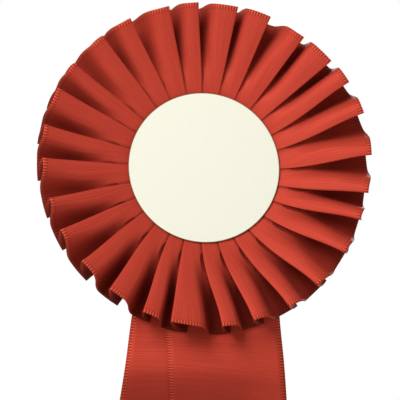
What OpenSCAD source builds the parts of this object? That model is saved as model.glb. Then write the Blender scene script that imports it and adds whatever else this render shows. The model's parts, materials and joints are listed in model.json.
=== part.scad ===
// Award rosette: a knife-pleated ribbon ring around a flat disc, with two ribbon tails
// and a locking bar pin on the back.
//
// Frame: millimetres, +Z up, the rosette faces -Y. The origin lies on the axis of the pin stem,
// midway along the bar pin. The layers are stacked along Y, from the stem forward.

/* [Rosette] */
// Diameter over the rim of the pleated ring
rosette_d = 145; // [110:1:180]
// Diameter of the centre disc
disc_d = 66; // [50:1:80]
// Number of knife pleats round the ring
pleats = 28; // [20:1:36]
// Width of pleated ribbon hidden behind the centre disc
header_hide = 10; // [6:0.5:12]
// How far the pleats stand out at the rim, from trough to crest
rim_depth = 17; // [8:0.5:20]
// How far the flattened pleats stand out at their header
header_depth = 1.7; // [1.2:0.1:2.5]

/* [Ribbon] */
// Thickness of the satin ribbon
ribbon_t = 0.25; // [0.2:0.05:0.4]
// Width of the two tails
tail_w = 50; // [30:1:60]
// Drop from the middle of the rosette to the long point of each tail
tail_drop = 280; // [200:1:340]
// Height difference across the slanted end of each tail
tail_slant = 22; // [0:1:30]
// Lean of the front tail, to the right
front_lean = 4.4; // [0:0.1:10]
// Lean of the rear tail, to the left
rear_lean = 7.6; // [0:0.1:12]
// Distance below the rim at which the tails bend when they swing
bend_below_rim = 1.5; // [1:0.5:6]

/* [Card and board] */
// Thickness of the printed paper on the centre disc
face_t = 0.25; // [0.1:0.05:0.5]
// Thickness of the board under it
board_t = 1.2; // [0.8:0.1:2]
// How far the board's edge stays inside the paper's edge
board_inset = 0.2; // [0:0.1:1]
// Thickness of the card that the pleats are fixed to
base_t = 1; // [0.6:0.1:2]
// Width of pleated ribbon that laps onto that card
base_lap = 5.5; // [4:0.5:6]
// Thickness of the card that covers the back
backing_t = 1; // [0.6:0.1:2]
// How far that card's edge stays inside the centre disc's edge
backing_inset = 2.5; // [1:0.5:4]

/* [Bar pin] */
// Length of the bar pin's base
bar_l = 38; // [32:1:42]
// Width of the base
bar_w = 5; // [4.5:0.1:7]
// Thickness of the base
bar_t = 0.6; // [0.4:0.1:1]
// Height of the stem's axis above the base
stem_h = 3.3; // [3:0.1:5]
// Diameter of the stem
stem_d = 0.9; // [0.7:0.05:1.2]
// Diameter of the hinge rivet's shank
rivet_d = 1; // [0.8:0.05:1.2]
// Thickness of the foam pad under the base
pad_t = 0.8; // [0.5:0.1:1.5]
// Height of the bar pin above the middle of the rosette
pin_above_middle = 12; // [8:1:16]

/* [Hidden] */
$fn = 96;

// Clearances
running_gap = 0.03;   // radial, a pin turning in its hole
turning_gap = 0.05;   // radial, the catch's barrel in its housing
side_gap = 0.15;      // along an axis, each side of a moving piece
tail_gap = 0.4;       // between the two tails
seat_gap = 0.05;      // between the front tail and the card
clinch_gap = 0.05;    // beyond the bent legs of a staple
bend_gap = 0.5;       // between the fixed and the swinging stretch of a tail

// Staple wire and sewing thread
wire_w = 0.5;
wire_t = 0.3;
thread_d = 0.3;

// The layers, as Y of each one's front face, from the stem's axis forward
bar_front = -stem_h - bar_t;
pad_front = bar_front - pad_t;
backing_front = pad_front - backing_t;
rear_tail_back = backing_front - clinch_gap - wire_t;
rear_tail_front = rear_tail_back - ribbon_t;
front_tail_back = rear_tail_front - tail_gap;
front_tail_front = front_tail_back - ribbon_t;
base_back = front_tail_front - seat_gap;
base_front = base_back - base_t;
header_front = base_front - header_depth;
board_back = header_front - thread_d;
board_front = board_back - board_t;
face_front = board_front - face_t;

// Radii of the rosette
rim_r = rosette_d / 2;
disc_r = disc_d / 2;
ruffle_in_r = disc_r - header_hide;
base_r = ruffle_in_r + base_lap;
backing_r = disc_r - backing_inset;
stitch_r = (ruffle_in_r + base_r) / 2;
ribbon_shown = rim_r - disc_r;
middle_z = -pin_above_middle;

// The pleated sheet
sheet_t = 0.7;
sheet_back_out = base_front + 0.5;
pitch = 360 / pleats;

// Glue
bead_r = 3;
bead_ring_r = ruffle_in_r - bead_r - 1;
dot_r = 4;
dot_x = 12;

// Tails: their headers start just above the middle of the rosette
tail_pivot_x = 3.3;
tail_top = 4;
bend_z = middle_z - rim_r - bend_below_rim;
tip_z = middle_z - tail_drop;
staple_crown = 9;
staple_x = 6.5;
staple_z = -5;
dot_z = tail_top + tail_w / 2 * sin(max(front_lean, rear_lean)) + dot_r + 0.5;

// Hinge of the stem
hinge_x = -bar_l / 2 + 3;
knuckle_r = 1.2;
knuckle_w = 1.6;
ear_t = 0.6;
ear_r = 1.15;
ear_in = knuckle_w / 2 + side_gap;
rivet_head_r = 0.85;
rivet_head_t = 0.35;

// Catch: a slotted barrel turns in a slotted housing
catch_l = 3.2;
catch_x = bar_l / 2 - 3 - catch_l / 2;
catch_bore_r = stem_d / 2 + 0.15;
catch_slot = 2 * catch_bore_r;
barrel_r = 1.45;
housing_r = barrel_r + turning_gap + 0.5;
collar_r = housing_r - 0.15;
collar_t = 0.5;
tab_l = 4.2;
tab_w = 1;
foot_w = 1.6;

// Stem: a straight wire that tapers to a point
point_l = 8;
point_r = 0.1;
tip_x = catch_x + catch_l / 2 + 1.2;

// Sewing holes in the base
sew_hole_r = 1;
sew_hole_x = bar_l / 5;

// A disc in the XZ plane about the rosette's middle, from y0 back to y1
module layer_disc(r, y0, y1) {
    translate([0, y1, middle_z]) rotate([90, 0, 0]) cylinder(r = r, h = y1 - y0);
}

// A wall drawn in the XZ plane, from y0 back to y1
module layer(y0, y1) {
    translate([0, y1, 0]) rotate([90, 0, 0]) linear_extrude(height = y1 - y0) children();
}

// A bar with round ends in the XZ plane
module round_bar(length, width) {
    half = (length - width) / 2;
    square([2 * half, width], center = true);
    translate([-half, 0]) circle(d = width);
    translate([half, 0]) circle(d = width);
}

// A ring about the X axis, from x0 to x1
module barrel(r, x0, x1) {
    translate([x0, 0, 0]) rotate([0, 90, 0]) cylinder(r = r, h = x1 - x0);
}

// Wire staple with its crown along X: legs run back from y_crown to y_clinch and bend inward
module staple(crown, y_crown, y_clinch) {
    leg = crown / 2 - wire_w;
    bent = crown / 2 - 1;
    layer(y_crown - wire_t, y_crown) square([crown, wire_w], center = true);
    for (side = [-1, 1]) {
        translate([side * (leg + wire_w / 2), 0, 0])
            layer(y_crown, y_clinch) square(wire_w, center = true);
        translate([side * (crown / 2 - bent / 2), 0, 0])
            layer(y_clinch, y_clinch + wire_t) square([bent, wire_w], center = true);
    }
}

module centre_face() {
    color("ivory") layer_disc(disc_r, face_front, board_front);
}

module centre_board() {
    color("tan") layer_disc(disc_r - board_inset, board_front, board_back);
}

// Beads of hot-melt glue between the board and the card, inside the ring of pleats
module centre_glue() {
    color("wheat") for (angle = [30, 90, 150, 270])
        translate([bead_ring_r * cos(angle), 0, bead_ring_r * sin(angle)])
            layer_disc(bead_r, board_back, base_front);
}

// The ring of knife pleats. Each pleat climbs slowly clockwise to its crest and drops back under
// the next one. STATIONS gives, along one pleat, the share of the pitch and the share of the depth.
STATIONS = [[0, 0], [0.4, 0.35], [0.8, 1], [0.97, 0.15]];
// RINGS gives the distance across the ribbon from its inner edge, and the depth of the pleats there
RINGS = [
    [0, header_depth - sheet_t],
    [header_hide, header_depth - sheet_t],
    [header_hide + ribbon_shown * 0.35, rim_depth * 0.45],
    [header_hide + ribbon_shown * 0.7, rim_depth * 0.8],
    [header_hide + ribbon_shown, rim_depth]
];

// The sheet keeps its width, so where it climbs it reaches less far out
function ring_r(across, rise) = ruffle_in_r + sqrt(across * across - rise * rise);
function ring_back(i) = i < 2 ? base_front : sheet_back_out;
function ruffle_point(i, pleat, station, thick) =
    let (
        angle = -(pleat + STATIONS[station][0]) * pitch,
        rise = STATIONS[station][1] * RINGS[i][1],
        r = i == 0 ? ruffle_in_r : ring_r(RINGS[i][0], rise)
    )
    [r * cos(angle), ring_back(i) - rise - thick, middle_z + r * sin(angle)];

module ruffle() {
    round_n = pleats * len(STATIONS);
    ring_n = len(RINGS);
    points = [
        for (thick = [0, sheet_t], i = [0 : ring_n - 1], p = [0 : pleats - 1], s = [0 : len(STATIONS) - 1])
            ruffle_point(i, p, s, thick)
    ];
    front = ring_n * round_n;
    function at(side, i, j) = side * front + i * round_n + j % round_n;
    faces = [
        for (i = [0 : ring_n - 2], j = [0 : round_n - 1], half = [0, 1])
            half == 0 ? [at(0, i, j), at(0, i + 1, j), at(0, i + 1, j + 1)]
                      : [at(0, i, j), at(0, i + 1, j + 1), at(0, i, j + 1)],
        for (i = [0 : ring_n - 2], j = [0 : round_n - 1], half = [0, 1])
            half == 0 ? [at(1, i, j), at(1, i + 1, j + 1), at(1, i + 1, j)]
                      : [at(1, i, j), at(1, i, j + 1), at(1, i + 1, j + 1)],
        for (j = [0 : round_n - 1], half = [0, 1])
            half == 0 ? [at(0, 0, j), at(1, 0, j + 1), at(1, 0, j)]
                      : [at(0, 0, j), at(0, 0, j + 1), at(1, 0, j + 1)],
        for (j = [0 : round_n - 1], half = [0, 1])
            half == 0 ? [at(0, ring_n - 1, j), at(1, ring_n - 1, j), at(1, ring_n - 1, j + 1)]
                      : [at(0, ring_n - 1, j), at(1, ring_n - 1, j + 1), at(0, ring_n - 1, j + 1)]
    ];
    color("firebrick") polyhedron(points, faces);
}

// One stitch of thread over the crest of each pleat
module header_stitches() {
    stitch_l = 2.6;
    color("darkred") translate([0, 0, middle_z]) for (p = [0 : pleats - 1])
        rotate([0, (p + STATIONS[2][0]) * pitch, 0])
            translate([stitch_r - stitch_l / 2, header_front - thread_d / 2, 0])
                rotate([0, 90, 0]) cylinder(d = thread_d, h = stitch_l);
}

// The staple that joins the ribbon's two ends, at the top of the ring
module join_staple() {
    color("silver") translate([0, 0, middle_z + stitch_r])
        staple(6, base_front - header_depth * 0.6, base_back);
}

module ruffle_base() {
    color("gainsboro") layer_disc(base_r, base_front, base_back);
}

// Outline of a whole tail that leans to one side, drawn in the XZ plane from its top to its
// slanted end, whose long point is on the outer edge
module tail_outline(lean, side) {
    reach = (middle_z - tip_z) / cos(lean);
    translate([tail_pivot_x, middle_z]) rotate(side * lean) polygon([
        [-side * tail_w / 2, tail_top],
        [-side * tail_w / 2, -reach + tail_slant],
        [side * tail_w / 2, -reach],
        [side * tail_w / 2, tail_top]
    ]);
}

// The stretch of the sheet above or below the line where it bends
module above_bend() {
    big = 4 * tail_drop;
    intersection() {
        children();
        translate([-big / 2, bend_z + bend_gap / 2]) square([big, big]);
    }
}

module below_bend() {
    big = 4 * tail_drop;
    intersection() {
        children();
        translate([-big / 2, bend_z - bend_gap / 2 - big]) square([big, big]);
    }
}

module tail_front_header() {
    color("crimson") layer(front_tail_front, front_tail_back)
        above_bend() tail_outline(front_lean, 1);
}

module tail_front_drop() {
    color("crimson") layer(front_tail_front, front_tail_back)
        below_bend() tail_outline(front_lean, 1);
}

module tail_rear_header() {
    color("brown") layer(rear_tail_front, rear_tail_back)
        above_bend() tail_outline(rear_lean, -1);
}

module tail_rear_drop() {
    color("brown") layer(rear_tail_front, rear_tail_back)
        below_bend() tail_outline(rear_lean, -1);
}

// Two staples hold both tails to the card
module tail_staples() {
    color("silver") for (side = [-1, 1])
        translate([tail_pivot_x + side * staple_x, 0, middle_z + staple_z])
            staple(staple_crown, base_front, rear_tail_back);
}

// Dots of glue between the two cards, above the ends of the tails
module rear_glue() {
    color("wheat") for (side = [-1, 1])
        translate([side * dot_x, 0, dot_z]) layer_disc(dot_r, base_back, backing_front);
}

module backing_disc() {
    color("white") layer_disc(backing_r, backing_front, pad_front);
}

module pin_pad() {
    pad_inset = 0.2;
    color("whitesmoke") layer(pad_front, bar_front)
        round_bar(bar_l - 2 * pad_inset, bar_w - 2 * pad_inset);
}

// The base plate with the two ears that carry the stem's rivet
module pin_base() {
    ear_out = ear_in + ear_t;
    color("silver") {
        layer(bar_front, -stem_h) difference() {
            round_bar(bar_l, bar_w);
            for (side = [-1, 1]) translate([side * sew_hole_x, 0]) circle(r = sew_hole_r);
        }
        for (side = [-1, 1]) translate([hinge_x, 0, side * (ear_in + ear_t / 2)]) difference() {
            union() {
                cylinder(r = ear_r, h = ear_t, center = true);
                translate([-ear_r, -stem_h, -ear_t / 2]) cube([2 * ear_r, stem_h, ear_t]);
            }
            cylinder(d = rivet_d, h = 2 * ear_out, center = true);
        }
    }
}

module pin_rivet() {
    ear_out = ear_in + ear_t;
    color("gainsboro") translate([hinge_x, 0, 0]) {
        cylinder(d = rivet_d, h = 2 * ear_out, center = true);
        for (side = [-1, 1]) translate([0, 0, side * (ear_out + rivet_head_t / 2)])
            cylinder(r = rivet_head_r, h = rivet_head_t, center = true);
    }
}

module pin_stem() {
    straight_end = tip_x - point_l;
    color("lightgray") difference() {
        union() {
            translate([hinge_x, 0, 0]) cylinder(r = knuckle_r, h = knuckle_w, center = true);
            barrel(stem_d / 2, hinge_x, straight_end);
            translate([straight_end, 0, 0]) rotate([0, 90, 0])
                cylinder(r1 = stem_d / 2, r2 = point_r, h = point_l);
        }
        translate([hinge_x, 0, 0])
            cylinder(d = rivet_d + 2 * running_gap, h = 2 * knuckle_w, center = true);
    }
}

// The slot that lets the stem in from the back, of the given width and length along X
module stem_slot(width, x0, x1) {
    translate([x0, 0, -width / 2]) cube([x1 - x0, 2 * housing_r, width]);
}

module catch_housing() {
    x0 = catch_x - catch_l / 2;
    x1 = catch_x + catch_l / 2;
    color("silver") difference() {
        union() {
            barrel(housing_r, x0, x1);
            translate([x0, -stem_h, -foot_w / 2]) cube([catch_l, stem_h, foot_w]);
        }
        barrel(barrel_r + turning_gap, x0 - 1, x1 + 1);
        stem_slot(catch_slot + 0.2, x0 - 1, x1 + 1);
    }
}

// The slotted barrel, with a collar at each end and a thumb tab
module safety_catch() {
    x0 = catch_x - catch_l / 2 - side_gap;
    x1 = catch_x + catch_l / 2 + side_gap;
    color("lightgray") difference() {
        union() {
            barrel(barrel_r, x0, x1);
            barrel(collar_r, x0 - collar_t, x0);
            barrel(collar_r, x1, x1 + collar_t);
            translate([x0 - collar_t, -tab_w / 2, -tab_l]) cube([collar_t, tab_w, tab_l]);
        }
        barrel(catch_bore_r, x0 - 1, x1 + 1);
        stem_slot(catch_slot, x0 - 1, x1 + 1);
    }
}

centre_face();
centre_board();
centre_glue();
ruffle();
header_stitches();
join_staple();
ruffle_base();
tail_front_header();
tail_front_drop();
tail_rear_header();
tail_rear_drop();
tail_staples();
rear_glue();
backing_disc();
pin_pad();
pin_base();
pin_rivet();
pin_stem();
catch_housing();
safety_catch();
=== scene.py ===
# %% [markdown]
# # An award rosette
#
# A long satin ribbon is folded into knife pleats round a small card, a flat paper disc covers
# the raw ends of the pleats, two ribbon tails hang behind it, and a bar pin on the back holds
# it to cloth. The imported model gives every place and size. This script gives it its looks: thin
# folded sheets stand in for the stiff CAD ribbon, and every surface gets its material.

# %% The frame: nodes and joints of the imported model
import json
import math
import random

import bmesh
import bpy
import numpy as np
from mathutils import Matrix, Vector


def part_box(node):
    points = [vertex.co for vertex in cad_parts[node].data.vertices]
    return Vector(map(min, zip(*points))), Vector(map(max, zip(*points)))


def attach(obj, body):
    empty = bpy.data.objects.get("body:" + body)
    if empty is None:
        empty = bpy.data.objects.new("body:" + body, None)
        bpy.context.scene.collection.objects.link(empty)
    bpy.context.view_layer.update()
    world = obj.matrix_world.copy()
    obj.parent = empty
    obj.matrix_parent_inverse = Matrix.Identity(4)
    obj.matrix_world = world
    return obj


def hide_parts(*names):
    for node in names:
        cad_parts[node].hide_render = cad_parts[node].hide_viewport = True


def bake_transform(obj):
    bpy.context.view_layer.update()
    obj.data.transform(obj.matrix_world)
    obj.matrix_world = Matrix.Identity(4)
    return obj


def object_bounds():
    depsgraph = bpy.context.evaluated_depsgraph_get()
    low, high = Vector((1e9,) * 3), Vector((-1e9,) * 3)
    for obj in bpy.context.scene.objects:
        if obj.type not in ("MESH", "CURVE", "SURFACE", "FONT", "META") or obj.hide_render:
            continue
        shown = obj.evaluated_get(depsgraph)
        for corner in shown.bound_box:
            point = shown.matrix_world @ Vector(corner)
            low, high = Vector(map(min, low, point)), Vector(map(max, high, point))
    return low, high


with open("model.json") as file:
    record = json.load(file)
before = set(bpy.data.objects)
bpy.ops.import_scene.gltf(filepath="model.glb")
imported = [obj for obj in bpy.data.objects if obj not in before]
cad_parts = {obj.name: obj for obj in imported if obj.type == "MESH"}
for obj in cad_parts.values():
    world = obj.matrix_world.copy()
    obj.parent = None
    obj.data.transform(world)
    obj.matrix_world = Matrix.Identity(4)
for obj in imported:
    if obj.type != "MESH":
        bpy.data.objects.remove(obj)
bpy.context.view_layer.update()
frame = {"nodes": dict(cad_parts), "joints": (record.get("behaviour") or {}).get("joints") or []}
MM = 0.001
FULL_TURN = 2 * math.pi

# %% [markdown]
# ## Sizes from the frame
#
# On the real rosette each layer is laid on the one behind it, so the places below are read
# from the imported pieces: the disc gives the middle, the ruffle its rim and its depth, the card
# the seat of the pleats. Reading them, and not typing them again, keeps the looks on the model
# when a size changes. Only the ribbon's own width and thickness are given here.

# %% Sizes and places
face_low, face_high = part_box("centre_face")
ruffle_low, ruffle_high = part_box("ruffle")
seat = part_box("ruffle_base")[0].y
joints = {j["name"]: j for j in frame["joints"]}

middle = (face_low + face_high) / 2
disc_r = (face_high.x - face_low.x) / 2
rim_r = (ruffle_high.x - ruffle_low.x) / 2
ribbon_w = 50 * MM
ribbon_t = 0.16 * MM
header_r = rim_r - ribbon_w
print(f"disc {2 * disc_r / MM:.1f} mm, rim {2 * rim_r / MM:.1f} mm")
print(f"header radius {header_r / MM:.1f} mm, seat at y {seat / MM:.1f} mm")

# %% [markdown]
# ## A small language for shaders
#
# A material is a network of nodes. Written out one by one the nodes hide the idea, so a socket
# is wrapped here in a class that knows arithmetic: `1 - mask * 0.3` adds the Math nodes by
# itself. Any other node comes from one method, `add`.

# %% Wires
class Wire:
    """An output socket that can be used in an expression."""

    def __init__(self, shader, socket):
        self.shader = shader
        self.socket = socket

    def __add__(self, other):
        return self.shader.math("ADD", self, other)

    def __sub__(self, other):
        return self.shader.math("SUBTRACT", self, other)

    def __rsub__(self, other):
        return self.shader.math("SUBTRACT", other, self)

    def __mul__(self, other):
        return self.shader.math("MULTIPLY", self, other)

    __radd__ = __add__
    __rmul__ = __mul__


# %% Networks of nodes
class Network:
    """A node tree that is being filled."""

    def __init__(self, tree):
        self.tree = tree
        self.tree.nodes.clear()

    def add(self, kind, settings=None, values=None):
        """A node of this kind, its settings first and then its sockets' values or links."""
        node = self.tree.nodes.new("ShaderNode" + kind)
        for name, value in (settings or {}).items():
            setattr(node, name, value)
        for name, value in (values or {}).items():
            self.feed(node.inputs[name], value)
        return node

    def feed(self, socket, value):
        """Links a wire to the socket, or sets a plain value on it."""
        if isinstance(value, Wire):
            self.tree.links.new(value.socket, socket)
        else:
            socket.default_value = value

    def out(self, node, name=0):
        return Wire(self, node.outputs[name])

    def math(self, operation, *values):
        node = self.add("Math", {"operation": operation}, dict(enumerate(values)))
        return self.out(node)

    def step(self, value, low, high):
        """0 below low and 1 above high, smooth between them."""
        node = self.add("MapRange", {"interpolation_type": "SMOOTHSTEP"},
                        {"Value": value, "From Min": low, "From Max": high})
        return self.out(node, "Result")

    def parts(self, vector):
        """The x, y and z of a vector."""
        node = self.add("SeparateXYZ", None, {0: vector})
        return [self.out(node, i) for i in range(3)]

    def scaled(self, vector, factors):
        node = self.add("VectorMath", {"operation": "MULTIPLY"}, {0: vector, 1: factors})
        return self.out(node)

    def noise(self, vector, scale, detail):
        """A cloudy pattern from 0 to 1, its scale in clouds per metre."""
        node = self.add("TexNoise", None, {
            "Vector": vector, "Scale": scale, "Detail": detail, "Roughness": 0.55})
        return self.out(node, "Fac")

    def mix(self, factor, a, b):
        """Colour a where the factor is 0, and b where it is 1."""
        node = self.add("Mix", {"data_type": "RGBA"}, {0: factor, 6: a, 7: b})
        return self.out(node, 2)


# %% A material and its colours
class Shader(Network):
    """A material with one Principled BSDF and the network that feeds it."""

    def __init__(self, name, **constants):
        self.material = bpy.data.materials.new(name)
        self.material.use_nodes = True
        super().__init__(self.material.node_tree)
        self.surface = self.add("BsdfPrincipled", values=constants)
        output = self.add("OutputMaterial")
        self.tree.links.new(self.surface.outputs["BSDF"], output.inputs["Surface"])

    def object_point(self):
        return self.out(self.add("TexCoord"), "Object")

    def uv_point(self, name):
        return self.out(self.add("UVMap", {"uv_map": name}), "UV")

    def attribute(self, name):
        return self.out(self.add("Attribute", {"attribute_name": name}), "Fac")

    def facing_y(self):
        """How far the surface looks along y: 1 straight along it, -1 straight against it."""
        return self.parts(self.out(self.add("NewGeometry"), "Normal"))[1]

    def bump(self, height, strength, distance):
        node = self.add("Bump", None, {
            "Height": height, "Strength": strength, "Distance": distance})
        self.feed(self.surface.inputs["Normal"], self.out(node))

    def colour(self, value):
        self.feed(self.surface.inputs["Base Color"], value)

    def roughness(self, value):
        self.feed(self.surface.inputs["Roughness"], value)


def linear(red, green, blue):
    """A colour given in the usual 0 to 255 steps, as the shader wants it."""
    steps = [c / 255 for c in (red, green, blue)]
    lit = [c / 12.92 if c <= 0.04045 else ((c + 0.055) / 1.055) ** 2.4 for c in steps]
    return tuple(lit) + (1.0,)


# %% [markdown]
# ## How a piece joins the rosette
#
# Each new piece is an object that stays at the origin, with its place in its mesh, so that a
# pattern on object coordinates keeps its real size. It says which body it moves with, what it
# is made of, and which CAD nodes it stands for. Those nodes are then hidden.

# %% Helpers for pieces
# Vertices that lie closer than this are one and the same, in metres
WELD = 1e-7


def new_piece(name, bm, smooth=True):
    """A finished bmesh as an object at the origin."""
    mesh = bpy.data.meshes.new(name)
    bm.to_mesh(mesh)
    bm.free()
    for polygon in mesh.polygons:
        polygon.use_smooth = smooth
    piece = bpy.data.objects.new(name, mesh)
    bpy.context.scene.collection.objects.link(piece)
    print(f"{name}: {len(mesh.vertices)} vertices, {len(mesh.polygons)} faces")
    return piece


def finish_piece(piece, material, body, slot, *replaced):
    """Gives a piece its material and what it replaces. A piece given no body is left unparented.
    """
    piece.data.materials.clear()
    piece.data.materials.append(material)
    if body:
        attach(piece, body)
    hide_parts(*replaced)
    return piece


def give_thickness(piece):
    """The ribbon's thickness, half of it on each side of the sheet."""
    wall = piece.modifiers.new("thickness", "SOLIDIFY")
    wall.thickness = ribbon_t
    wall.offset = 0.0


# %% [markdown]
# ## Satin ribbon
#
# Satin is woven so that long smooth threads lie on the face: it is bright where it turns to the
# light and deep red where it turns away, with fine ribs across it from the weft. Each edge is a
# woven selvedge, a narrow band of short bars. All of it follows the ribbon and not the room, so
# the pattern reads the ribbon's own map: metres along it and metres across it.
#
# Deep in a fold, light bounces from red to red and comes out darker and redder than the few
# bounces of a render give. So shade is painted in: each sheet carries how deep in a fold it lies,
# and on the tails how far the wave turns from the lamp, and this painted shade darkens the satin
# on the side that faces forward. The back keeps its plain colour.

# %% The satin's pattern and colours
RIBBON_MAP = "ribbon"
FOLD_MAP = "painted_shade_amount"
SELVEDGE_W = 1.9 * MM
BAR_PITCH = 1.25 * MM
WEFT_PITCH = 1.05 * MM
# How far a rib wanders along the ribbon
WEFT_DRIFT = 0.7 * MM
# Noise per metre, along and across: streaks of weft, single threads, and worn patches
STREAKS = (1500.0, 24.0, 1.0)
THREADS = (120.0, 3200.0, 1.0)
PATCHES = (60.0, 60.0, 1.0)
# How much of the painted shade's colour shows at the bottom of a fold
FOLD_SHADE_STRENGTH = 0.86

RIB_GAP_RED, RIB_RED = linear(173, 54, 41), linear(193, 70, 54)
THREAD_RED, WORN_RED = linear(176, 54, 38), linear(208, 80, 60)
BAR_GAP_RED, BAR_RED = linear(156, 44, 31), linear(208, 84, 60)
# The second colour of this pair is painted shade, mixed in at the bottom of the folds
HEM_RED, FOLD_SHADE_RED = linear(130, 30, 22), linear(56, 5, 2)
SHEEN_PINK = linear(255, 150, 120)
print(f"{ribbon_w / WEFT_PITCH:.0f} ribs in a square of ribbon, {ribbon_w / BAR_PITCH:.0f} bars")


# %% The satin
def satin(name):
    shader = Shader(name, **{
        "Metallic": 0.12, "Specular IOR Level": 0.03,
        "Sheen Weight": 0.02, "Sheen Roughness": 0.4, "Sheen Tint": SHEEN_PINK})
    point = shader.uv_point(RIBBON_MAP)
    along, across, _ = shader.parts(point)

    # The selvedge with its bars, and the thin dark line where it meets the cloth
    from_edge = shader.math("MINIMUM", across, ribbon_w - across)
    selvedge = 1 - shader.step(from_edge, SELVEDGE_W * 0.92, SELVEDGE_W)
    past_edge = shader.step(from_edge, SELVEDGE_W * 0.9, SELVEDGE_W * 1.02)
    hem_line = past_edge * (1 - shader.step(from_edge, SELVEDGE_W * 1.1, SELVEDGE_W * 1.35))
    bar_wave = shader.math("SINE", along * (FULL_TURN / BAR_PITCH))
    bars = shader.step(bar_wave, -0.25, 0.55)

    # The weft's ribs: streaks of uneven brightness, with a faint even beat in them
    streaks = shader.noise(shader.scaled(point, STREAKS), 1.0, 2.0)
    weft = shader.math("SINE", (along + streaks * WEFT_DRIFT) * (FULL_TURN / WEFT_PITCH))
    ribs = streaks * 0.55 + weft * 0.11 + 0.22
    threads = shader.noise(shader.scaled(point, THREADS), 1.0, 2.0)
    patches = shader.noise(shader.scaled(point, PATCHES), 1.0, 2.0)

    body = shader.mix(shader.step(ribs, 0.3, 0.7), RIB_GAP_RED, RIB_RED)
    body = shader.mix(shader.step(threads, 0.25, 0.75) * 0.35, body, THREAD_RED)
    body = shader.mix(patches * 0.3, body, WORN_RED)
    edge = shader.mix(bars, BAR_GAP_RED, BAR_RED)
    cloth = shader.mix(selvedge, body, edge)
    cloth = shader.mix(hem_line * 0.18, cloth, HEM_RED)

    # The front is towards -y. Painted shade from the folds darkens the colour there, and a
    # surface that looks back gets none
    looks_front = shader.step(shader.facing_y() * -1.0, -0.6, 0.0)
    painted_shade = shader.attribute(FOLD_MAP) * looks_front * FOLD_SHADE_STRENGTH
    shader.colour(shader.mix(painted_shade, cloth, FOLD_SHADE_RED))
    shader.roughness(0.44 + ribs * 0.12 - selvedge * 0.04)
    relief = ribs * 0.35 + threads * 0.25 + selvedge * bars * 0.9 - hem_line * 0.3
    shader.bump(relief, 0.35, 0.12 * MM)
    return shader.material


ribbon_satin = satin("ribbon_satin")
print("satin nodes:", len(ribbon_satin.node_tree.nodes))

# %% [markdown]
# ## Paper, board, card, foam, glue and thread
#
# The small parts are matte and pale, and their detail is mostly in the surface: fibres in
# paper, flecks in grey board, pores in foam. One recipe makes them all, with its own grain per
# metre. Each reads the object's own coordinates, so the grain has its real size. The face paper
# is brown along its edge, in a thin ring measured from the disc's rim.

# %% Matte materials
# How far inside the rim the brown ring begins, and where it is full
BROWN_RING_FROM = 0.42 * MM
BROWN_RING_FULLY = 0.12 * MM


def paper_like(name, base, tint, grain, roughness, edge=None):
    shader = Shader(name, **{"Specular IOR Level": 0.25})
    point = shader.object_point()
    fibres = shader.noise(point, grain, 4.0)
    clouds = shader.noise(point, grain / 12, 2.0)
    colour = shader.mix(shader.step(fibres, 0.3, 0.7) * 0.5 + clouds * 0.3, base, tint)
    if edge:
        x, _, z = shader.parts(point)
        z = z - middle.z
        from_middle = shader.math("SQRT", x * x + z * z)
        rim = shader.step(from_middle, disc_r - BROWN_RING_FROM, disc_r - BROWN_RING_FULLY)
        colour = shader.mix(rim, colour, edge)
    shader.colour(colour)
    shader.roughness(roughness + fibres * 0.1)
    shader.bump(fibres, 0.25, 0.05 * MM)
    return shader.material


face_paper = paper_like("face_paper", linear(235, 234, 217), linear(232, 231, 214), 900.0, 0.72,
                        edge=linear(128, 92, 60))
grey_board = paper_like("grey_board", linear(132, 106, 82), linear(92, 74, 58), 1500.0, 0.85)
white_card = paper_like("white_card", linear(236, 233, 224), linear(222, 218, 206), 1100.0, 0.8)
foam_tape = paper_like("foam_tape", linear(238, 238, 234), linear(212, 212, 206), 2600.0, 0.9)
red_thread = paper_like("red_thread", linear(150, 28, 22), linear(96, 14, 12), 4000.0, 0.6)
hot_glue = paper_like("hot_glue", linear(232, 222, 190), linear(214, 202, 166), 300.0, 0.3)
print("matte materials:", [m.name for m in (
    face_paper, grey_board, white_card, foam_tape, red_thread, hot_glue)])

# %% [markdown]
# ## Pressed steel
#
# The bar pin is stamped from sheet steel and nickel plated. Plating is smooth, but handling
# leaves fine scratches along the part and dulls it in patches, so the roughness varies and a
# fine grain runs along x. The stem is harder spring wire, drawn and polished. The staples are
# plain wire, scratched in no one direction.

# %% Metal materials
def steel(name, bright, dull, roughness, grain):
    shader = Shader(name, Metallic=1.0)
    point = shader.object_point()
    scratches = shader.noise(shader.scaled(point, grain), 1.0, 3.0)
    stains = shader.noise(point, 420.0, 3.0)
    shader.colour(shader.mix(shader.step(stains, 0.4, 0.75) * 0.6, bright, dull))
    shader.roughness(roughness + scratches * 0.16 + stains * 0.1)
    shader.bump(scratches, 0.12, 0.02 * MM)
    return shader.material


nickel_steel = steel("nickel_steel", linear(226, 222, 212), linear(186, 180, 168), 0.2,
                     grain=(300.0, 6000.0, 6000.0))
spring_wire = steel("spring_wire", linear(232, 232, 230), linear(196, 196, 194), 0.14,
                    grain=(200.0, 9000.0, 9000.0))
staple_wire = steel("staple_wire", linear(206, 206, 206), linear(150, 148, 144), 0.28,
                    grain=(3000.0, 3000.0, 3000.0))
print("metals:", [m.name for m in (nickel_steel, spring_wire, staple_wire)])

# %% [markdown]
# ## The ruffle's fold
#
# A knife pleat is ribbon that runs forward to a crest, turns back under itself, and turns
# forward again under the next crest. At the header the folds are pressed flat, a stack of
# layers like a fanned pack of cards. At the rim they spring open into breaking waves: a deep
# valley, a rise, a smooth crest and a sharp edge that hangs over the next valley.
#
# A cloth simulation would find some such shape, but not pleats of a chosen width. So both
# states are drawn as one row of 14 stations, each with a turn and a height, and the ribbon
# between header and rim is a blend of the two. Turns are shares of a pleat's pitch, counted
# from the crest before it.

# %% Stations along one pleat
LAYER = 0.18 * MM
PLEAT_RIBBON = 50 * MM
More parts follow.
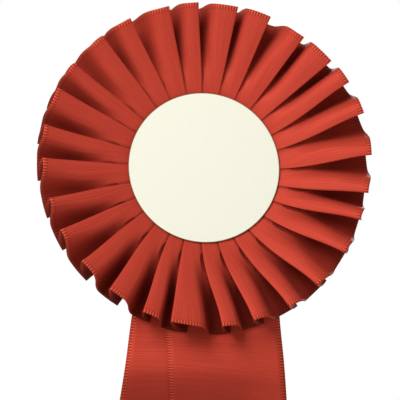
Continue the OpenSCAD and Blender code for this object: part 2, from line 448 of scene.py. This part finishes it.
# How many steps of ribbon lie between each station and the next
STEPS = (2, 2, 2, 3, 4, 4, 4, 4, 3, 3, 3, 3, 2, 1)
OPEN_HEIGHTS = np.array([
    0.02, 0.0, 0.0, 0.06, 0.42, 0.8, 0.95, 1.0, 0.985, 0.955, 0.9, 0.5, 0.22, 0.05])


def pressed_fold(lap):
    """Turns and heights: lap is how many pitches of ribbon lie hidden under earlier pleats."""
    front = [-lap, -0.66 * lap, -0.33 * lap, 0.0, 0.25, 0.5, 0.7, 0.85, 0.98]
    back = [1.0, 0.97, 1 - 0.33 * lap, 1 - 0.66 * lap, 1 - lap]
    heights = [2 * LAYER * q for q in front] + [2 * LAYER * q - LAYER for q in back]
    return np.array(front + back), np.array(heights)


def open_turns(plateau):
    """The sprung fold's turns: plateau is the share of the pitch that its crest takes."""
    valley = 1 - plateau
    return np.array([
        -0.42, -0.2, 0.02, valley * 0.42, valley * 0.66, valley * 0.88, valley + 0.06,
        1 - plateau * 0.45, 0.985, 1.0, 0.985, 0.85, 0.7, 0.575])


print("stations:", len(STEPS), "steps of ribbon in a pleat:", sum(STEPS))

# %% [markdown]
# ## The pleats
#
# Folding by hand is never even. Each row below is one pleat, clockwise from the top: its width
# at the disc, how far its crest has drifted by the rim, both in degrees, the share of the pitch
# that its crest takes at the rim, and how far its rim has slipped outwards, in millimetres.

# %% The pleats as folded
PLEATS = [
    (12.9, -0.3, 0.60, -0.2), (12.4, -0.6, 0.70, 0.4), (13.9, -0.6, 0.44, 0.0),
    (11.8, 0.3, 0.74, 0.8), (13.7, -3.8, 0.62, 1.9), (12.1, -4.0, 0.42, 2.0),
    (14.6, -3.7, 0.32, 1.4), (12.9, -2.9, 0.34, 0.3), (12.2, -5.0, 0.40, -0.3),
    (13.5, -5.3, 0.34, 0.1), (15.5, -5.7, 0.32, -0.2), (12.8, -5.9, 0.38, 0.4),
    (12.7, -5.3, 0.40, -0.4), (12.4, -6.4, 0.52, 0.3), (13.2, -1.8, 0.66, 0.0),
    (11.5, -3.2, 0.64, -0.5), (13.2, -2.5, 0.56, -1.0), (12.7, -1.7, 0.54, -1.4),
    (12.1, -0.6, 0.36, -0.9), (12.3, -1.1, 0.34, -1.1), (13.9, -0.6, 0.36, -0.5),
    (12.0, -0.9, 0.42, 0.3), (13.3, -0.6, 0.50, 0.6), (11.2, -1.3, 0.40, 0.5),
    (13.9, -1.0, 0.42, 0.0), (12.0, -1.4, 0.52, 0.3), (13.3, -0.1, 0.46, -0.2),
    (12.0, -1.6, 0.50, 0.1),
]
# How many degrees each crest at the disc stands back from the sum of the widths so far
CREST_BACK = 1.7
pleat_count = len(PLEATS)
widths, drifts, plateaus, slip_of = np.array(PLEATS).T
widths = widths * 360 / widths.sum()
disc_crests = np.cumsum(widths) - CREST_BACK
print("pleats:", pleat_count, "mean width:", round(widths.mean(), 2), "degrees")

# %% [markdown]
# ## From header to rim
#
# The ring is one sheet, and made pleat by pleat it would show a seam at every fold. So a whole
# row of ribbon, all the way round at one distance across it, is worked out at once. `spread`
# runs from 0, where the header is pressed flat, to 1 at the rim, and all else in the row
# follows it: how far the folds have opened, how high they climb, how wide the crests still are.

# %% Helpers for the rows
ROWS = 36
# The part of the ribbon's width that stays pressed flat, all of it behind the disc
PRESSED_W = 9 * MM
# The share of its pitch that a crest takes where the pleats lie shut
SHUT_SHARE = 0.93
# How high the lowest crest may stand, as a share of the highest
LOWEST_CREST = 0.92
# What the highest crest keeps clear of the front of the CAD ruffle
FRONT_CLEAR = 1.4 * MM
rng = random.Random(11)
height_of = [rng.uniform(LOWEST_CREST, 1.0) for _ in range(pleat_count)]
rim_depth = ruffle_high.y - ruffle_low.y - FRONT_CLEAR
# The station before each step of ribbon, and how far the step has gone to the next one
step_station = np.repeat(np.arange(len(STEPS)), STEPS)
step_share = np.concatenate([np.arange(steps) / steps for steps in STEPS])


def smoothstep(x):
    """0 below 0 and 1 above 1, smooth between them, for a number or an array."""
    x = np.clip(x, 0.0, 1.0)
    return x * x * (3 - 2 * x)


def ramp(x, start, over):
    """0 up to the start, and 1 once x is past it by the whole of over."""
    return smoothstep((x - start) / over)


def between(values, share):
    """A value at each step of ribbon, from the values at the stations."""
    return values[step_station] * (1 - share) + values[step_station + 1] * share


def phase_to_angle(phase, crests):
    """The angle at any phase round the ring, where phase k is the crest of pleat k."""
    turns = np.floor(phase / pleat_count)
    inside = phase - turns * pleat_count
    table = np.append(crests, crests[0] + 360)
    return np.interp(inside, np.arange(pleat_count + 1), table) + turns * 360


def eased(phases, heights):
    """One pass of smoothing along the ribbon, because satin doesn't crease to a knife edge."""
    ahead = np.append(phases[1:], phases[0] + pleat_count)
    behind = np.append(phases[-1] - pleat_count, phases[:-1])
    phases = 0.5 * phases + 0.25 * (ahead + behind)
    heights = 0.5 * heights + 0.25 * (np.roll(heights, 1) + np.roll(heights, -1))
    return phases, heights


print(f"pleats stand {min(height_of):.2f} to {max(height_of):.2f} of {rim_depth / MM:.1f} mm")

# %% [markdown]
# ## The painted shade of the folds
#
# A fold is dark for two reasons, and both are painted into the colour as shade. While the pleats
# are shut, the ribbon under the next crest is hidden, and a thin line of painted shadow shows at
# the crest's edge. Once they spring open, the valley is dark because it is deep and narrow, so
# there the painted shade grows with its depth over its width.

# %% Darkness at the stations
# How hidden a station is while the fold is shut. The last one is the next pleat's first
SHUT_DARK = np.array([1, 1, 1, 1, 0, 0, 0, 0, 0, 0.4, 1, 1, 1, 1, 1])
# How much of a station's depth darkens it once the fold is open: less on the rise
DEPTH_DARK = np.array([1, 1, 0.98, 0.7, 0.7, 0.6, 1, 1, 1, 1, 1, 1, 1, 1, 1])
OPEN_DARK = (1 - np.append(OPEN_HEIGHTS, 0)) * DEPTH_DARK
# A valley darkens from this depth over width on, and fully over this much more
SLIT_FROM, SLIT_OVER = 0.1, 2.2
# The station at the foot of the rise, past which the darkness fades fast
RISE_FOOT = 3
dark_share = np.where(step_station == RISE_FOOT, np.sqrt(step_share), step_share)


def fold_dark(spread, slit):
    """Painted shade at the stations: slit is the valley's depth over its width."""
    closed = 1 - smoothstep(spread * 1.5)
    sprung = smoothstep(spread * 1.6 - 0.2)
    return np.maximum(closed * SHUT_DARK, OPEN_DARK * ramp(slit, SLIT_FROM, SLIT_OVER) * sprung)


print("darkness when open:", np.round(OPEN_DARK, 2))

# %% [markdown]
# A row is worked out in three steps: how far everything has come at its `spread`, the stations
# of each pleat as a blend of the pressed and the open fold, and the steps of ribbon between
# them. Each pleat ends at the first station of the next one, so the ring closes by itself.

# %% One row of the ruffle
CARD_GAP = 0.15 * MM
# Past the stitches the pressed layers rise off the card by this much more
STITCHES_END = 6 * MM
STITCH_LIFT = 0.36 * MM
STITCH_LIFT_OVER = 4 * MM


def fold_row(across):
    """Angle, height and painted shade of every step of ribbon at one distance across it."""
    spread = max((across - PRESSED_W) / (ribbon_w - PRESSED_W), 0.0)
    opened = smoothstep(spread)
    climb = rim_depth * spread
    # Valleys deepen early, and crests begin to narrow a little later
    depth = smoothstep(spread * 1.35 + 0.12)
    crest_share = SHUT_SHARE + (plateaus - SHUT_SHARE) * smoothstep(spread * 1.25 - 0.16)
    crests = disc_crests + drifts * smoothstep(spread * 1.05)
    pitch = FULL_TURN * (header_r + across) / pleat_count
    lap = (PLEAT_RIBBON / pitch - 1) / 2
    pressed_turns, pressed_heights = pressed_fold(lap)

    folds = []
    for share, height in zip(crest_share, height_of):
        turns = pressed_turns * (1 - opened) + open_turns(share) * opened
        lifted = (1 - depth * (1 - OPEN_HEIGHTS)) * climb * height
        folds.append((turns, pressed_heights * (1 - opened) + lifted))

    phases, heights, dark = [], [], []
    for k, (turns, levels) in enumerate(folds):
        next_turns, next_levels = folds[(k + 1) % pleat_count]
        turns = np.append(turns, 1 + next_turns[0])
        levels = np.append(levels, next_levels[0])
        slit = climb * depth / ((1 - crest_share[k]) * pitch)
        phases.append(k - 1 + between(turns, step_share))
        heights.append(between(levels, step_share))
        dark.append(between(fold_dark(spread, slit), dark_share))

    phases, heights = eased(np.concatenate(phases), np.concatenate(heights))
    lift = 2 * LAYER * lap * (1 - opened) + CARD_GAP
    lift += STITCH_LIFT * ramp(across, STITCHES_END, STITCH_LIFT_OVER) * (1 - opened)
    return phase_to_angle(phases, crests), heights + lift, np.concatenate(dark)


# %% [markdown]
# ## The ruffle as a sheet
#
# The rows are laid out from the header outwards. A row that climbs reaches less far out,
# because the ribbon keeps its width, and that is why crests stop short of the valleys at the
# rim. The folds low in the ring face away from the light, so they get the most painted shade.

# %% Lay the rows out
# Mean strength of the folds' painted shade, how much less it is at the top, and where the top is
PAINTED_SHADE_MEAN, PAINTED_SHADE_FALL = 0.7, 0.28
PAINTED_SHADE_TOP = math.radians(10)
# The least that a row reaches outwards, as a share of its width
LEAST_REACH = 0.3

row_across = np.linspace(0, ribbon_w, ROWS + 1)
folded = [fold_row(across) for across in row_across]
angles = np.radians([row[0] for row in folded])
heights = np.array([row[1] for row in folded])
dark = np.array([row[2] for row in folded])
# Painted shade: dark in the folds, and darker towards the bottom of the ring, which faces away
# from the light
painted_shade_amount = smoothstep(dark * 1.3) * (PAINTED_SHADE_MEAN - PAINTED_SHADE_FALL * np.cos(angles - PAINTED_SHADE_TOP))

columns = angles.shape[1]
row_w = ribbon_w / ROWS
rises = np.diff(heights, axis=0)
reach = np.sqrt(np.maximum(row_w ** 2 - rises ** 2, (LEAST_REACH * row_w) ** 2))
radii = header_r + np.vstack([np.zeros(columns), np.cumsum(reach, axis=0)])
print(f"rim radii {radii[-1].min() / MM:.1f} to {radii[-1].max() / MM:.1f} mm")

# A slip belongs to the middle of its pleat, and fades towards its neighbours and the header
pleat_at = np.arange(columns) / sum(STEPS) - 0.5
slips = np.interp(pleat_at, np.arange(pleat_count), slip_of * MM)
radii += slips * smoothstep((row_across / ribbon_w)[:, None] * 1.2 - 0.2)
places = np.stack([middle.x + radii * np.sin(angles), seat - heights,
                   middle.z + radii * np.cos(angles)], -1)
print(f"with the slips {radii[-1].min() / MM:.1f} to {radii[-1].max() / MM:.1f} mm")

# %% [markdown]
# The ribbon's map needs metres along it, and they are measured at the rim, where the pleats
# have sprung open. Then a grid made by bmesh is rolled into the ring: each vertex is moved to
# its place, and the grid's ends are welded where the real ribbon's ends are joined.

# %% Roll the grid into the ruffle
ring = np.concatenate([places, places[:, :1]], 1)
gaps = np.linalg.norm(np.diff(ring, axis=1), axis=2)
rim_along = np.concatenate([[0], np.cumsum(gaps[-1])])

bm = bmesh.new()
bmesh.ops.create_grid(bm, x_segments=columns, y_segments=ROWS, size=1)
ribbon_map = bm.loops.layers.uv.new(RIBBON_MAP)
painted_shade_layer = bm.verts.layers.float.new(FOLD_MAP)
cells = {v: (round((v.co.x + 1) / 2 * columns), round((v.co.y + 1) / 2 * ROWS))
         for v in bm.verts}
for face in bm.faces:
    for loop in face.loops:
        i, j = cells[loop.vert]
        loop[ribbon_map].uv = (rim_along[i], row_across[j])
for vert, (i, j) in cells.items():
    vert.co = Vector(places[j, i % columns])
    vert[painted_shade_layer] = painted_shade_amount[j, i % columns]
bmesh.ops.remove_doubles(bm, verts=bm.verts, dist=WELD)
ruffle = new_piece("ruffle_ribbon", bm)
give_thickness(ruffle)
finish_piece(ruffle, ribbon_satin, "rosette", "ribbon_satin", "ruffle")

# %% [markdown]
# ## The tails
#
# Each tail is one length of the same ribbon, stapled behind the pleats and cut on the slant.
# It was stored rolled, so it keeps a slow wave, and it hangs a little away from its neighbour.
# A simulated strip would hang dead straight, so the wave is drawn. It is a grid again, with
# rows down the ribbon and columns across it. The stretch behind the rosette is flat, the wave
# grows below the rim, and the slanted end is made by running one side further than the other.

# %% The wave
# In millimetres: how far below the middle, and how far the ribbon swells forward there
WAVE = ((0, 0.0), (68, 0.0), (84, 2.6), (118, -4.0),
        (163, 1.4), (214, -1.6), (262, 1.2), (320, -0.8))
# The wave runs askew: this much lower for each metre to the right
WAVE_SKEW = 0.14


def swell(depth):
    """The forward swell at a depth below the middle, smooth between the points of the wave."""
    for (d0, w0), (d1, w1) in zip(WAVE, WAVE[1:]):
        if depth <= d1 * MM:
            share = ramp(depth, d0 * MM, (d1 - d0) * MM)
            return (w0 + (w1 - w0) * share) * MM
    return WAVE[-1][1] * MM


def falling_back(depth):
    """How steeply the ribbon falls back at a depth, which turns it away from the lamp."""
    return (swell(depth - 2 * MM) - swell(depth + 2 * MM)) / (4 * MM)


print(f"100 mm down the ribbon falls back {falling_back(100 * MM):.2f} m per m")

# %% [markdown]
# A tail is laid out along two directions, `down` the leaning ribbon and `right` across it, from
# the point of its middle line that is level with the disc's middle. Its long side ends at the
# lowest point of the CAD tail, so the length follows the model.

# %% One tail
TAIL_ROWS, TAIL_COLUMNS = 170, 16
# The upper end lies this far above the level of the disc's middle
ABOVE_MIDDLE = 4 * MM
SLANT = 22 * MM
# How far both edges of the ribbon cup forward of its middle line
CUP = 0.6 * MM
# Below the rim it comes to hang free, and its wave comes to run askew, each over a stretch
FREE_FROM, FREE_OVER = 74 * MM, 150 * MM
ASKEW_FROM, ASKEW_OVER = 84 * MM, 60 * MM
# Right of the middle the wave grows calm, until it has lost this share of its swell
CALM_FROM, CALM_OVER = 8 * MM, 34 * MM
CALM_SHARE = 0.6
# How dark the painted shade on the wave's undersides is, and how fast it grows with their slope
TAIL_PAINTED_SHADE = 0.5
PAINTED_SHADE_PER_SLOPE = 3.6


def tail(name, header, drop, joint_name, lean, side, back_off, twist):
    """Lean in degrees, side 1 for right and -1 for left, back_off how far it hangs back."""
    bend = Vector(joints[joint_name]["pos_m"])
    lean = math.radians(lean) * side
    down = Vector((math.sin(lean), 0, -math.cos(lean)))
    right = Vector((math.cos(lean), 0, math.sin(lean)))
    pivot = bend - down * ((middle.z - bend.z) / math.cos(lean))
    corner = ribbon_w / 2 * math.sin(abs(lean))
    long_side = (middle.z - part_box(drop)[0].z + corner) / math.cos(lean)
    length = long_side + ABOVE_MIDDLE

    bm = bmesh.new()
    bmesh.ops.create_grid(bm, x_segments=TAIL_COLUMNS, y_segments=TAIL_ROWS, size=1)
    ribbon_map = bm.loops.layers.uv.new(RIBBON_MAP)
    for face in bm.faces:
        for loop in face.loops:
            along = (1 - loop.vert.co.y) / 2
            loop[ribbon_map].uv = (along * length, (loop.vert.co.x + 1) / 2 * ribbon_w)

    painted_shade_layer = bm.verts.layers.float.new(FOLD_MAP)
    for vert in bm.verts:
        across = vert.co.x
        along = (1 - vert.co.y) / 2
        inner = (1 - across * side) / 2
        run = along * (length - SLANT * inner) - ABOVE_MIDDLE
        place = pivot + right * (across * ribbon_w / 2) + down * run
        depth = middle.z - place.z
        free = ramp(depth, FREE_FROM, FREE_OVER)
        swing = 1 - CALM_SHARE * ramp(place.x, CALM_FROM, CALM_OVER)
        level = depth - WAVE_SKEW * place.x * ramp(depth, ASKEW_FROM, ASKEW_OVER)
        slope = falling_back(level)
        # Painted shade where the wave's underside falls back, away from the lamp
        vert[painted_shade_layer] = TAIL_PAINTED_SHADE * swing * smoothstep(slope * PAINTED_SHADE_PER_SLOPE)
        out = swell(level) * swing - back_off * free
        out += (twist * across + CUP * across * across) * free
        place.y = bend.y - out
        vert.co = place
    piece = new_piece(name, bm)
    give_thickness(piece)
    finish_piece(piece, ribbon_satin, None, "ribbon_satin", header, drop)
    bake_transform(piece)
    cut = ribbon_w * (length - SLANT / 2)
    print(f"{name}: {length:.3f} m long, {cut * 1e4:.0f} cm2")
    return piece


# %% [markdown]
# The front tail leans right and hangs straight down from its bend. The rear tail leans left,
# hangs a little further back, and is twisted the other way, so the two never touch.

# %% Both tails
tail("tail_front_ribbon", "tail_front_header", "tail_front_drop", "tail_front_swing",
     lean=4.4, side=1, back_off=0.0, twist=1.2 * MM)
tail("tail_rear_ribbon", "tail_rear_header", "tail_rear_drop", "tail_rear_swing",
     lean=7.6, side=-1, back_off=5 * MM, twist=-1.0 * MM)

# %% [markdown]
# ## Discs of paper, board and card
#
# Each disc is punched out of sheet, so its faces are flat and its edge is crisp with a slight
# round from the punch. A plain cylinder's knife edges would catch no light. So a circle is
# filled, extruded and bevelled, and its place comes from the CAD disc that it stands for.

# %% Punched discs
def punched_disc(name, node, material, slot, round_off):
    low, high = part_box(node)
    radius = (high.x - low.x) / 2
    bm = bmesh.new()
    bmesh.ops.create_circle(bm, cap_ends=True, radius=radius, segments=180)
    grown = bmesh.ops.extrude_face_region(bm, geom=list(bm.faces))
    lifted = [g for g in grown["geom"] if isinstance(g, bmesh.types.BMVert)]
    bmesh.ops.translate(bm, verts=lifted, vec=(0, 0, high.y - low.y))
    bmesh.ops.recalc_face_normals(bm, faces=bm.faces)
    rims = [e for e in bm.edges if e.calc_face_angle(0) > 1]
    bmesh.ops.bevel(bm, geom=rims, offset=round_off, segments=2, profile=0.5,
                    affect="EDGES", material=-1)
    turn = Matrix.Rotation(math.radians(90), 4, "X")
    centre = Vector(((low.x + high.x) / 2, high.y, (low.z + high.z) / 2))
    bmesh.ops.transform(bm, matrix=Matrix.Translation(centre) @ turn, verts=bm.verts)
    piece = new_piece(name, bm, smooth=False)
    return finish_piece(piece, material, "rosette", slot, node)


punched_disc("face_disc", "centre_face", face_paper, "face_paper", 0.06 * MM)
punched_disc("board_disc", "centre_board", grey_board, "grey_board", 0.12 * MM)
punched_disc("base_disc", "ruffle_base", white_card, "white_card", 0.12 * MM)
punched_disc("back_disc", "backing_disc", white_card, "white_card", 0.15 * MM)

# %% [markdown]
# ## The bar pin
#
# The pin's shapes are right in the CAD already. Sheet steel has no knife edges, though, and a
# rounded edge is what glints. So each part is a copy of its CAD mesh: its loose triangles are
# merged, the flat ones joined into whole faces, and then its sharp edges are bevelled a little.

# %% Softened metal parts
NEARLY_FLAT = math.radians(0.5)
SHARP = math.radians(40)


def edges_where(bm, test):
    """The edges between two faces whose angle passes the test."""
    return [e for e in bm.edges if len(e.link_faces) == 2 and test(e.calc_face_angle(0))]


def softened(name, node, material, slot, body, round_off):
    bm = bmesh.new()
    bm.from_mesh(frame["nodes"][node].data)
    bmesh.ops.remove_doubles(bm, verts=bm.verts, dist=WELD)
    flat = edges_where(bm, lambda angle: angle < NEARLY_FLAT)
    bmesh.ops.dissolve_edges(bm, edges=flat, use_verts=True)
    sharp = edges_where(bm, lambda angle: angle > SHARP)
    bmesh.ops.bevel(bm, geom=sharp, offset=round_off, segments=2, profile=0.5,
                    affect="EDGES", material=-1, clamp_overlap=True)
    bmesh.ops.triangulate(bm, faces=bm.faces)
    piece = new_piece(name, bm, smooth=False)
    return finish_piece(piece, material, body, slot, node)


softened("pin_plate", "pin_base", nickel_steel, "nickel_steel", "rosette", 0.06 * MM)
softened("hinge_rivet", "pin_rivet", nickel_steel, "nickel_steel", "rosette", 0.08 * MM)
softened("stem_wire", "pin_stem", spring_wire, "spring_wire", "pin_stem", 0.05 * MM)
softened("catch_shell", "catch_housing", nickel_steel, "nickel_steel", "rosette", 0.06 * MM)
softened("catch_barrel", "safety_catch", nickel_steel, "nickel_steel", "safety_catch", 0.06 * MM)

# %% [markdown]
# ## Glue, stitches, staples and pad
#
# These are almost hidden between the layers, and their CAD shapes are as fine as they need to
# be there. So they keep their CAD meshes and only get a material.

# %% Materials for the CAD nodes that stay
KEPT = {
    "centre_glue": hot_glue, "rear_glue": hot_glue, "header_stitches": red_thread,
    "join_staple": staple_wire, "tail_staples": staple_wire, "pin_pad": foam_tape,
}
for node, material in KEPT.items():
    mesh = frame["nodes"][node].data
    mesh.materials.clear()
    mesh.materials.append(material)
print("kept CAD nodes:", sorted(KEPT))

# %% [markdown]
# ## The floor
#
# The rosette hangs just clear of a plain pale floor. The floor is a wide disc, filled from a
# circle.

# %% Floor
FLOOR_R = 3.0
FLOOR_GAP = 6 * MM
floor_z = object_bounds()[0].z - FLOOR_GAP
bm = bmesh.new()
bmesh.ops.create_circle(bm, cap_ends=True, radius=FLOOR_R, segments=96)
bmesh.ops.translate(bm, verts=bm.verts, vec=(0, 0, floor_z))
floor = new_piece("floor", bm, smooth=False)
pale = Shader("pale_floor", Roughness=0.9)
pale.colour(linear(228, 228, 226))
floor.data.materials.append(pale.material)

# %% [markdown]
# ## The studio
#
# A studio for small things is a pale sweep of paper, bright behind the object, in a dim room.
# The world does the same: white behind the rosette, pale at the height of the horizon, and
# darker above and below. An evenly white world would wash out the depth of the folds.

# %% World
# Brightness of the room, and how much the horizon adds to it
ROOM, HORIZON = 0.2, 0.36
scene = bpy.context.scene
scene.view_settings.view_transform = "Standard"
world = bpy.data.worlds.new("studio")
world.use_nodes = True
sky = Network(world.node_tree)
x, y, z = sky.parts(sky.out(sky.add("TexCoord"), "Generated"))
# Nearly 1 straight behind the rosette, a touch above and to the right
toward_back = y * 0.98 + z * 0.1 + x * 0.05
backdrop = sky.step(toward_back, 0.7, 0.92)
belt = 1 - sky.step(z * z, 0.02, 0.2)
around = belt * HORIZON + ROOM
glow = sky.add("Background", None, {
    "Color": (1.0, 1.0, 1.0, 1.0), "Strength": around + (1 - around) * backdrop})
sky.tree.links.new(glow.outputs[0], sky.add("OutputWorld").inputs[0])
scene.world = world
print("world nodes:", len(world.node_tree.nodes))

# %% [markdown]
# ## The lamps
#
# A broad round lamp stands in front, high on the left. It makes the crests shine and leaves the
# valleys dark. A second one, broader still, stands behind on the right, so that the back with
# its pin is lit as well. Area lamps are used because their size gives soft shadows.

# %% Lamps
KEY_AT, KEY_SIZE, KEY_POWER = (-0.52, -0.8, 0.46), 0.75, 10.6
REAR_AT, REAR_SIZE, REAR_POWER = (0.35, 1.1, 0.35), 0.9, 8.0


def lamp(name, place, size, power):
    """A round lamp that looks at the middle of the rosette, in metres and watts."""
    light = bpy.data.lights.new(name, "AREA")
    light.shape = "DISK"
    light.size = size
    light.energy = power
    to_middle = middle - Vector(place)
    piece = bpy.data.objects.new(name, light)
    piece.location = place
    piece.rotation_mode = "QUATERNION"
    piece.rotation_quaternion = to_middle.to_track_quat("-Z", "Y")
    scene.collection.objects.link(piece)
    print(f"{name}: {to_middle.length:.2f} m from the rosette, {power} W")


lamp("key", KEY_AT, KEY_SIZE, KEY_POWER)
lamp("rear", REAR_AT, REAR_SIZE, REAR_POWER)

# %% [markdown]
# ## The camera
#
# It stands an arm's length away, a little to the left and a little low, and looks up at the
# rosette. The lens follows from the distance and from how wide a strip of the rosette's own
# plane the view takes in, so the distance can change without changing the framing.

# %% Camera
VIEW_W = 172.3 * MM
VIEW_DISTANCE = 0.65
VIEW_AZIMUTH = math.radians(-7.5)
VIEW_ELEVATION = math.radians(-10)
# From the middle of the rosette to the point that the camera looks at
AIM_OFFSET = Vector((-1.9 * MM, 0, -14.5 * MM))
SENSOR_W = 36

level = math.cos(VIEW_ELEVATION)
back = Vector((math.sin(VIEW_AZIMUTH) * level, -math.cos(VIEW_AZIMUTH) * level,
               math.sin(VIEW_ELEVATION)))
camera = bpy.data.cameras.new("camera")
camera.sensor_width = SENSOR_W
camera.lens = SENSOR_W * VIEW_DISTANCE / VIEW_W
camera.clip_start = 0.01
camera.clip_end = 20
view = bpy.data.objects.new("camera", camera)
view.location = middle + AIM_OFFSET + back * VIEW_DISTANCE
view.rotation_mode = "QUATERNION"
view.rotation_quaternion = (-back).to_track_quat("-Z", "Y")
scene.collection.objects.link(view)
scene.camera = view
print(f"camera {VIEW_DISTANCE} m away, lens {camera.lens:.0f} mm")
